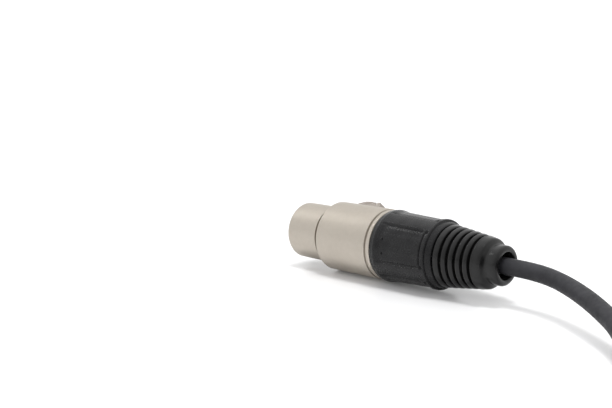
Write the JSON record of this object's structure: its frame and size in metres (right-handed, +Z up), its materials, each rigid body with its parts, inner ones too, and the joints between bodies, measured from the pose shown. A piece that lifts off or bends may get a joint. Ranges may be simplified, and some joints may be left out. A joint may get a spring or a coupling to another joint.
{
  "type": "microphone cable",
  "caption": "Microphone cable with a latching female connector in front, a ribbed strain relief, and the rest of the cable coiled and tied with the male connector lying on it.",
  "frame": {"origin": "on the ground under the middle of the female connector, which lies on its side along X", "axes": "+X along the female connector from its mating face to its cable, +Z up"},
  "size_m": [0.2159, 0.0764, 0.0376],
  "materials": {
    "nickel": "satin nickel plating on a die-cast shell",
    "black_plastic": "semi-matte moulded plastic",
    "boot": "matte soft rubber",
    "cable": "matte flexible jacket",
    "contact": "plated turned contact",
    "spring_steel": "bright spring steel",
    "clamp": "moulded nylon",
    "strap": "woven hook and loop strap",
    "core_red": "insulated core",
    "core_white": "insulated core",
    "shield": "twisted copper shield"
  },
  "bodies": {
    "cable": {"cable_coil": "cable", "cable_lead": "cable", "cable_tail": "cable", "cable_tie": "strap", "female_boot": "boot", "female_cap_nut": "black_plastic", "female_chuck": "clamp", "female_core_a": "core_white", "female_core_b": "core_red", "female_ground_tab": "contact", "female_insert": "black_plastic", "female_nose": "nickel", "female_shell": "nickel", "female_shield_wire": "shield", "latch_hinge_pin": "spring_steel", "latch_spring": "spring_steel", "male_boot": "boot", "male_cap_nut": "black_plastic", "male_chuck": "clamp", "male_core_a": "core_white", "male_core_b": "core_red", "male_ground_tab": "contact", "male_insert": "black_plastic", "male_pin_1": "contact", "male_pin_2": "contact", "male_pin_3": "contact", "male_shell": "nickel", "male_shield_wire": "shield", "socket_contact_1": "contact", "socket_contact_2": "contact", "socket_contact_3": "contact"},
    "latch": {"latch_lever": "spring_steel", "latch_push_pad": "nickel"}
  },
  "joints": [
    {"name": "latch_press", "type": "hinge", "parent": "cable", "child": "latch", "pos_m": [-0.00975, 0.00396, 0.01369], "axis": [0, -0.7071, 0.7071], "range_deg": [0, 3.5], "stiffness_Nm_per_rad": 0.4, "springref_deg": -2.86, "deforming": ["latch_spring"]}
  ]
}
